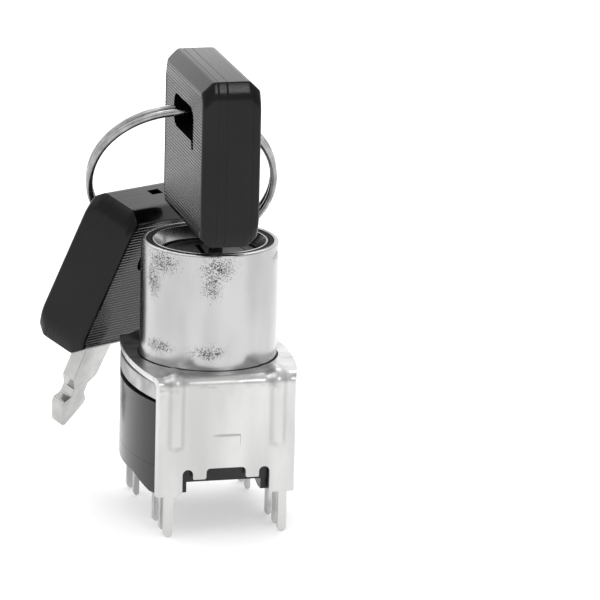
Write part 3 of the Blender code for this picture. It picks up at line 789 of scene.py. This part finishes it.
def rounded_rectangle(half_width, half_height, radius, middle=0.0, count=9):
    reach, rise = half_width - radius, half_height - radius
    return (arc((reach, middle + rise), radius, 0, 90, count)
            + arc((-reach, middle + rise), radius, 90, 180, count)
            + arc((-reach, middle - rise), radius, 180, 270, count)
            + arc((reach, middle - rise), radius, 270, 360, count))


def bow_body(seam_depth):
    """The bow's rounded block with moulding seams round its narrow faces."""
    depths = [np.linspace(-FACE_X, -FACE_X + 0.4, 12), np.linspace(-FACE_X + 0.4, -1.3, 10)]
    for seam in SEAMS:
        depths.append(np.linspace(seam - 0.12, seam + 0.12, 9))
    depths += [np.linspace(-1.0, FACE_X - 0.4, 18), np.linspace(FACE_X - 0.4, FACE_X, 12)]
    sections = []
    for x in np.unique(np.round(np.concatenate(depths), 4)):
        sections.append([(x, y, z) for y, z in bow_outline(*bow_section(x, seam_depth))])
    return skinned(sections)


def rib_comb(side):
    """What is cut from one face of the bow to leave fine ribs, in a field with rounded corners."""
    width, height = bow_section(FACE_X - 0.16)
    width, height, radius = width - 0.3, height - 0.3, CORNER_RADIUS
    count = int(2 * height / RIB_PITCH)
    steps = 8
    sections = []
    for i in range(count * steps + 1):
        z = (i / steps - count / 2) * RIB_PITCH
        crest = 0.5 - 0.5 * math.cos(2 * math.pi * i / steps)
        corner = max(abs(z) - (count * RIB_PITCH / 2 - radius), 0.0)
        reach = width - radius + math.sqrt(max(radius * radius - corner * corner, 0.01))
        front = side * (FACE_X - 0.006 - RIB_RELIEF * (1.0 - crest ** 0.8))
        back = side * (FACE_X + 0.3)
        sections.append([(back, -reach, z), (front, -reach, z), (front, reach, z), (back, reach, z)])
    return skinned(sections)


def bow_shape(notched):
    """A bow about its own centre: ribbed faces, ring slot, nick and tang; one has a notched top."""
    bow = bow_body(0.016 if notched else 0.04)
    for side in (-1, 1):
        bow = without(bow, rib_comb(side))
    half_width, half_height = SLOT_WIDTH / 2, SLOT_HEIGHT / 2
    slot = rounded_rectangle(half_width, half_height, SLOT_CORNER, SLOT_ABOVE_CENTRE)
    bow = without(bow, plate([slot], -4.0, 4.0, "X"))
    low = SLOT_ABOVE_CENTRE - half_height
    nick = filleted([(-3.7, low - 0.7), (-3.1, low - 0.7), (-2.7, low + 0.7), (-3.65, low + 1.2)], 0.12)
    bow = without(bow, plate([nick], -4.0, -FACE_X + 0.45, "X"))
    half = BLADE_THICKNESS / 2 + 0.12
    base = -BOW_HEIGHT / 2
    bow = without(bow, block((-half, -2.92, base - 1.0), (half, 2.92, base + TANG_LENGTH + 0.12)))
    if notched:
        top = BOW_HEIGHT / 2
        bow = without(bow, block((-0.85, -1.0, top - 0.4), (-0.15, 0.8, top + 0.5)))
    return bow


def blade_shape():
    """Flat blade with a shoulder, a waist and an arrow tip."""
    low = -BOW_HEIGHT / 2
    profile = [
        (-2.8, TANG_LENGTH), (-2.8, -0.85), (-2.1, -0.9), (-1.95, -4.1), (-1.05, -5.2),
        (-1.0, -6.0), (-1.8, -6.4), (-1.75, -7.0), (-0.3, -9.1), (0.15, -9.1), (1.85, -7.0),
        (1.8, -6.5), (1.05, -5.75), (0.9, -4.8), (1.85, -4.1), (2.0, -0.9), (2.8, -0.8),
        (2.8, TANG_LENGTH),
    ]
    outline = filleted([(y, low + z) for y, z in profile], 0.16, 4)
    half = BLADE_THICKNESS / 2
    return plate([outline], -half, half, "X", 0.07, 3)


def ring_frame():
    """The ring's own axes where it rests in the inserted key's bow."""
    lean = Matrix.Rotation(RING_LEAN, 3, "X")
    roll = Matrix.Rotation(RING_ROLL, 3, "Y")
    yaw = Matrix.Rotation(RING_YAW, 3, "Z")
    return yaw @ lean @ roll


def ring_point(angle, sideways=0.0, outward=0.0):
    """A point on the ring at an angle from its pivot, moved along its axis or away from its centre."""
    reach = RING_RADIUS + outward
    local = Vector((math.sin(angle) * reach, sideways, math.cos(angle) * reach - RING_RADIUS))
    return RING_PIVOT + ring_frame() @ local


def spare_matrix():
    """Where the spare key hangs: X through its thickness, Z towards the top of its bow."""
    up = SPARE_UP
    across = (SPARE_THICKNESS_AXIS - up * SPARE_THICKNESS_AXIS.dot(up)).normalized()
    turn = Matrix((across, up.cross(across), up)).transposed()
    hole = ring_point(SPARE_RING_ANGLE) - turn @ Vector(RING_IN_SLOT)
    centre = hole - turn @ Vector((0.0, 0.0, SLOT_ABOVE_CENTRE))
    return Matrix.Translation(centre * MM) @ turn.to_4x4()


def make_keys():
    inserted = Matrix.Translation((0.0, 0.0, BOW_CENTRE_Z * MM))
    for prefix, body, matrix in (("", "key", inserted), ("spare_", "spare_key", spare_matrix())):
        bow = bow_shape(notched=bool(prefix))
        bow.transform(matrix)
        add_piece(prefix + "bow", bow, "bow_plastic", body, [prefix + "key_bow"], angle=30.0)
        blade = blade_shape()
        blade.transform(matrix)
        add_piece(prefix + "blade", blade, "key_nickel", body, [prefix + "key_blade"])


def turn_offset(angle):
    """Sideways place of the wire: one turn on each side, with a short crossover between them."""
    share = smooth_step((angle - 2 * math.pi) / CROSSOVER + 0.5)
    return TURN_PITCH * (share - 0.5)


def make_ring():
    """One flattened wire wound twice round, crossing over inside the inserted key's bow."""
    start = CROSSOVER / 2 + WIRE_END_GAP
    end = 4 * math.pi - start
    sections = []
    for i in range(WIRE_STEPS + 1):
        angle = start + (end - start) * i / WIRE_STEPS
        tip = min(i, WIRE_STEPS - i) / 3.0
        size = 1.0 if tip >= 1 else 0.75 + 0.25 * tip
        section = []
        for k in range(WIRE_SIDES):
            a = 2 * math.pi * k / WIRE_SIDES
            out = math.copysign(abs(math.cos(a)) ** 0.8, math.cos(a)) * WIRE_HALF_WIDTH * size
            over = math.copysign(abs(math.sin(a)) ** 0.8, math.sin(a)) * WIRE_HALF_THICKNESS * size
            section.append(tuple(ring_point(angle, turn_offset(angle) + over, out)))
        sections.append(section)
    add_piece("key_ring", skinned(sections), "ring_steel", "ring", ["split_ring"], angle=50.0)


# ---------------------------------------------------------------- everything

def dress_cad_nodes():
    """Give every CAD piece the finish of its slot; the replaced ones stay hidden."""
    slots = {entry["node"]: entry["material_slot"] for entry in frame["record"]["subparts"]}
    for name, node in frame["nodes"].items():
        node.data.materials.clear()
        node.data.materials.append(MATERIALS[slots[name]])


make_camera()
make_world()
make_floor()
make_light("key_light", (-0.25, -0.15, 0.45), (0.0, 0.0, 0.015), (0.35, 0.35), 0.4)
make_light("front_light", (0.12, -0.42, 0.26), (0.0, 0.0, 0.02), (0.14, 0.1), 0.26)
make_light("back_light", (0.05, 0.22, 0.28), (0.0, 0.02, 0.0), (0.25, 0.2), 0.38)
bpy.context.scene.view_settings.view_transform = "Standard"
dress_cad_nodes()
make_barrel()
make_plug_face()
make_housing()
make_terminals()
make_bracket()
make_keys()
make_ring()
